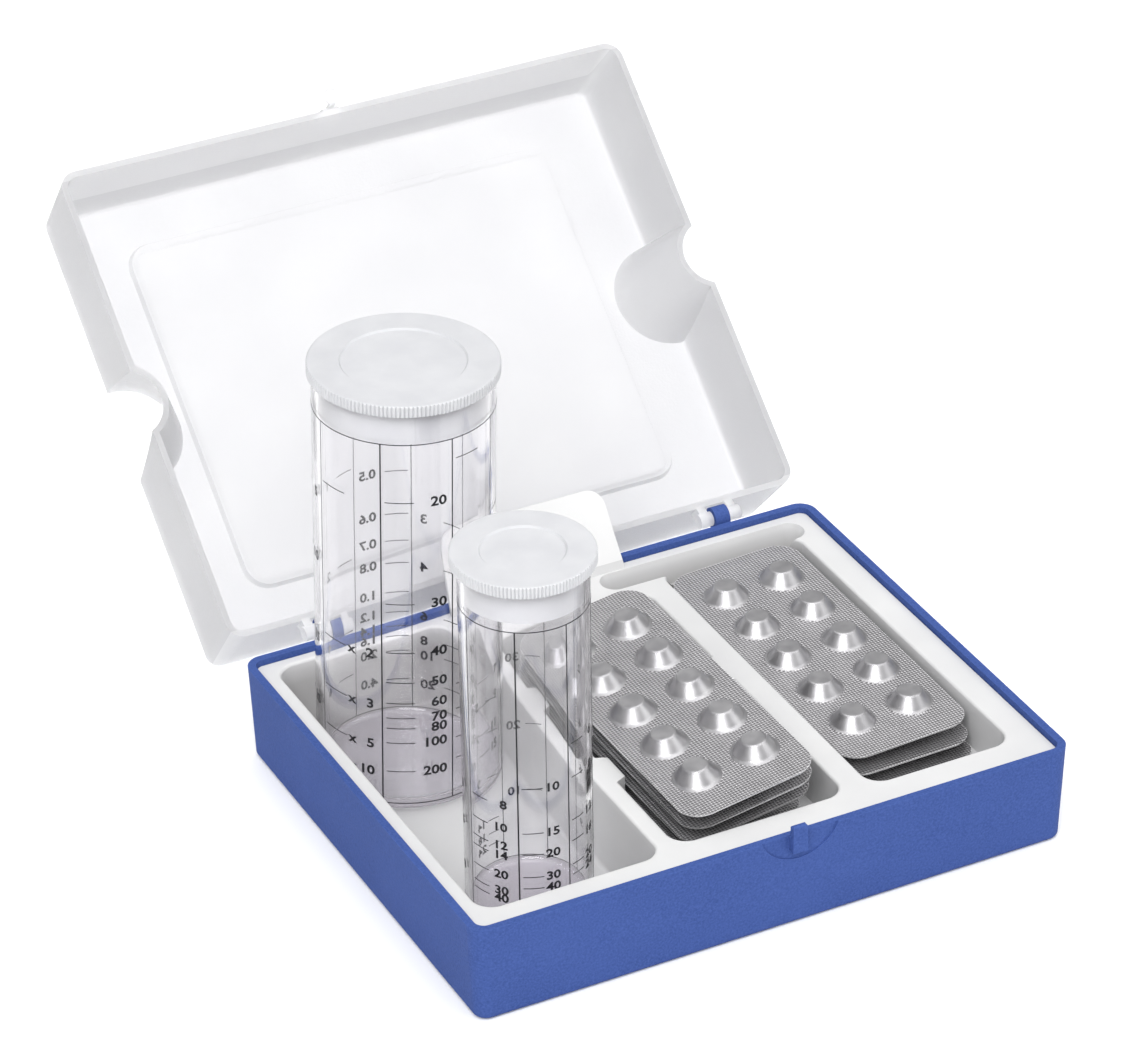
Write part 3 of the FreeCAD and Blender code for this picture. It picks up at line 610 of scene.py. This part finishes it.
def print_scales(node, radius, rings, lines, digit_size, columns):
    """One mesh of ink on a tube: rings, upright lines and the columns of ticks and numbers."""
    tube = tube_axes(node, radius * MM)
    mesh = bmesh.new()
    for height in rings:
        add_band(mesh, tube, 0.0, 360.0, height - LINE_WIDTH / 2, height + LINE_WIDTH / 2)
    bottom = min(rings) + LINE_WIDTH / 2
    top = max(rings) - LINE_WIDTH / 2
    for angle, share in lines:
        half = math.degrees(LINE_WIDTH * share / radius) / 2
        add_band(mesh, tube, angle - half, angle + half, bottom, top)
    for start, end, number_angle, align, marks in columns:
        for height, text in marks:
            if start != end:
                low, high = height - TICK_WIDTH / 2, height + TICK_WIDTH / 2
                add_band(mesh, tube, start, end, low, high)
            if text:
                add_number(mesh, tube, text, number_angle, height, digit_size, align)
    data = bpy.data.meshes.new(f"{node}_scales")
    mesh.to_mesh(data)
    mesh.free()
    data.materials.append(INK)
    piece = bpy.data.objects.new(f"{node}_scales", data)
    bpy.context.scene.collection.objects.link(piece)
    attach(piece, node)


# Angles are in degrees from the tube's right, heights in millimetres above its foot. A line has
# an angle and its share of the usual width. A column has the angles that its ticks start and end
# at, the angle and alignment of its numbers, and its marks.
LARGE_LINES = [
    (-178.5, 0.85),
    (-130.3, 1.4),
    (-84.7, 1.2),
    (-48.0, 0.9),
    (-13.0, 0.85),
    (21.0, 0.85),
    (59.8, 0.9),
    (101.0, 0.85),
    (140.0, 0.85),
]
LARGE_TWENTIES = [
    (68.1, "20"),
    (46.2, "30"),
    (35.5, "40"),
    (28.9, "50"),
    (24.3, "60"),
    (21.0, "70"),
    (18.7, "80"),
    (15.4, "100"),
    (9.0, "200"),
]
LARGE_TIMES = [(68.0, ""), (34.9, "2"), (23.7, "3"), (14.8, "5"), (8.7, "10")]
LARGE_TENTHS = [
    (55.5, "0.5"),
    (46.0, "0.6"),
    (40.0, "0.7"),
    (35.0, "0.8"),
    (28.4, "1.0"),
    (23.9, "1.2"),
    (20.7, "1.4"),
    (18.4, "1.6"),
    (15.0, "2.0"),
    (8.5, "4.0"),
]
LARGE_COLUMNS = [
    (-127.7, -109.6, -88.6, "RIGHT", LARGE_TWENTIES),
    (-176.0, -155.6, -135.6, "RIGHT", LARGE_TIMES),
    (0.0, 0.0, -151.3, "CENTER", [(height, "x") for height, text in LARGE_TIMES if text]),
    (61.9, 77.9, 90.4, "CENTER", LARGE_TENTHS),
    (
        23.2,
        37.1,
        54.2,
        "RIGHT",
        [(45.0, "3"), (34.2, "4"), (23.1, "6"), (17.5, "8"), (14.1, "10"), (7.5, "20")],
    ),
    (
        -82.0,
        -64.0,
        -52.0,
        "RIGHT",
        [(76.1, ""), (27.0, "7"), (21.4, "9"), (15.0, "11"), (10.3, "15")],
    ),
    (-45.5, -31.0, -18.0, "RIGHT", [(60.0, "2"), (42.0, "3"), (28.0, "5"), (16.0, "8")]),
    (103.5, 118.0, 134.0, "RIGHT", [(58.0, "1"), (38.0, "2"), (22.0, "4"), (12.0, "6")]),
    (142.5, 157.0, 175.0, "RIGHT", [(64.0, "5"), (50.0, "10"), (32.0, "15"), (18.0, "25")]),
]
SMALL_LINES = [
    (-175.9, 0.9),
    (-125.0, 1.4),
    (-78.2, 1.2),
    (-35.0, 0.9),
    (8.0, 0.85),
    (45.2, 0.9),
    (88.8, 0.9),
    (134.0, 0.85),
]
SMALL_LEFT = [
    (28.9, "8"),
    (23.9, "10"),
    (19.9, "12"),
    (17.7, "14"),
    (13.4, "20"),
    (9.8, "30"),
    (8.1, "40"),
]
SMALL_FRONT = [(32.8, "10"), (23.0, "15"), (18.3, "20"), (13.3, "30"), (10.8, "40")]
SMALL_SIDE = [(40.6, "6"), (33.2, "8"), (23.8, "12"), (19.2, "16"), (14.0, "20"), (11.7, "24")]
SMALL_BEHIND = [
    (38.7, "5"),
    (31.7, "7"),
    (21.7, "9"),
    (12.0, "14"),
    (9.0, "18"),
    (6.4, "24"),
]
SMALL_COLUMNS = [
    (-172.8, -153.9, -134.8, "RIGHT", SMALL_LEFT),
    (-121.5, -103.1, -87.6, "RIGHT", SMALL_FRONT),
    (-74.6, -59.6, -43.0, "RIGHT", SMALL_SIDE),
    (49.6, 64.9, 76.5, "CENTER", [(46.5, "30"), (31.6, "20"), (16.9, "10")]),
    (93.5, 106.8, 124.0, "RIGHT", SMALL_BEHIND),
    (-31.5, -16.0, 1.0, "RIGHT", [(48.0, "2"), (36.0, "4"), (26.0, "6"), (14.0, "9")]),
    (137.5, 152.0, 168.0, "RIGHT", [(44.0, "1"), (28.0, "3"), (20.0, "5"), (10.0, "8")]),
]
print_scales("large_tube", 17.2, (80.4, 1.8), LARGE_LINES, 1.95, LARGE_COLUMNS)
print_scales("small_tube", 12.0, (66.4, 2.0), SMALL_LINES, 1.75, SMALL_COLUMNS)

# ---------------------------------------------------------------- stage, lights and camera

FLOOR_HALF_SIZE = 4.0
FLOOR_DROP = 0.1 * MM
# Name, place, size and power.
SOFTBOXES = [
    ("key_softbox", (-0.6, -0.8, 1.05), 0.8, 13.5),
    ("fill_softbox", (0.8, -0.55, 0.8), 0.7, 2.6),
    ("back_softbox", (0.2, 0.4, 1.7), 0.9, 6.0),
]
LAMP_AIM = Vector((0.0, 0.0, 0.03))
SKY_STRENGTH = 1.15
SKY_HEIGHTS = [(0.0, 0.55), (0.45, 0.42), (0.62, 0.5), (0.85, 1.0)]
SKY_FRONT_TO_BACK = (1.25, 0.8)
CAMERA_AZIMUTH = math.radians(-26.73)
CAMERA_ELEVATION = math.radians(31.76)
CAMERA_ROLL = math.radians(-0.88)
CAMERA_DISTANCE = 1.02041
CAMERA_TARGET = Vector((0.00682, 0.04991, 0.030))
CAMERA_LENS = 165.96
SENSOR_WIDTH = 36.0


def make_stage():
    mesh = bmesh.new()
    bmesh.ops.create_grid(mesh, x_segments=1, y_segments=1, size=FLOOR_HALF_SIZE)
    data = bpy.data.meshes.new("studio_floor")
    mesh.to_mesh(data)
    mesh.free()
    data.materials.append(make_floor())
    floor = bpy.data.objects.new("studio_floor", data)
    floor.location.z = -FLOOR_DROP
    bpy.context.scene.collection.objects.link(floor)


def add_softbox(name, place, size, power):
    light = bpy.data.lights.new(name, "AREA")
    light.shape = "SQUARE"
    light.size = size
    light.energy = power
    lamp = bpy.data.objects.new(name, light)
    lamp.location = place
    lamp.rotation_mode = "QUATERNION"
    lamp.rotation_quaternion = (LAMP_AIM - Vector(place)).to_track_quat("-Z", "Y")
    bpy.context.scene.collection.objects.link(lamp)


def make_sky():
    """Studio light from all round: bright overhead and in front, dimmer behind and low down."""
    world = bpy.data.worlds.new("studio_world")
    world.use_nodes = True
    tree = world.node_tree
    place = tree.nodes.new("ShaderNodeTexCoord").outputs["Generated"]
    axes = split_axes(tree, place)
    height = ramp(tree, axes["Z"], SKY_HEIGHTS)
    depth = map_range(tree, math_node(tree, "ADD", axes["Y"], 0.5), *SKY_FRONT_TO_BACK)
    background = tree.nodes["Background"]
    tree.links.new(height, background.inputs["Color"])
    tree.links.new(math_node(tree, "MULTIPLY", depth, SKY_STRENGTH), background.inputs["Strength"])
    bpy.context.scene.world = world


def make_camera():
    back = Vector(
        (
            math.sin(CAMERA_AZIMUTH) * math.cos(CAMERA_ELEVATION),
            -math.cos(CAMERA_AZIMUTH) * math.cos(CAMERA_ELEVATION),
            math.sin(CAMERA_ELEVATION),
        )
    )
    right = (-back).cross(Vector((0.0, 0.0, 1.0))).normalized()
    up = right.cross(-back)
    cosine, sine = math.cos(CAMERA_ROLL), math.sin(CAMERA_ROLL)
    rolled_right = right * cosine + up * sine
    rolled_up = up * cosine - right * sine
    turn = Matrix((rolled_right, rolled_up, back)).transposed()
    data = bpy.data.cameras.new("photo_camera")
    data.lens = CAMERA_LENS
    data.sensor_width = SENSOR_WIDTH
    camera = bpy.data.objects.new("photo_camera", data)
    camera.matrix_world = Matrix.Translation(CAMERA_TARGET + back * CAMERA_DISTANCE) @ turn.to_4x4()
    bpy.context.scene.collection.objects.link(camera)
    bpy.context.scene.camera = camera


make_stage()
make_sky()
for softbox in SOFTBOXES:
    add_softbox(*softbox)
make_camera()
bpy.context.scene.view_settings.view_transform = "Standard"
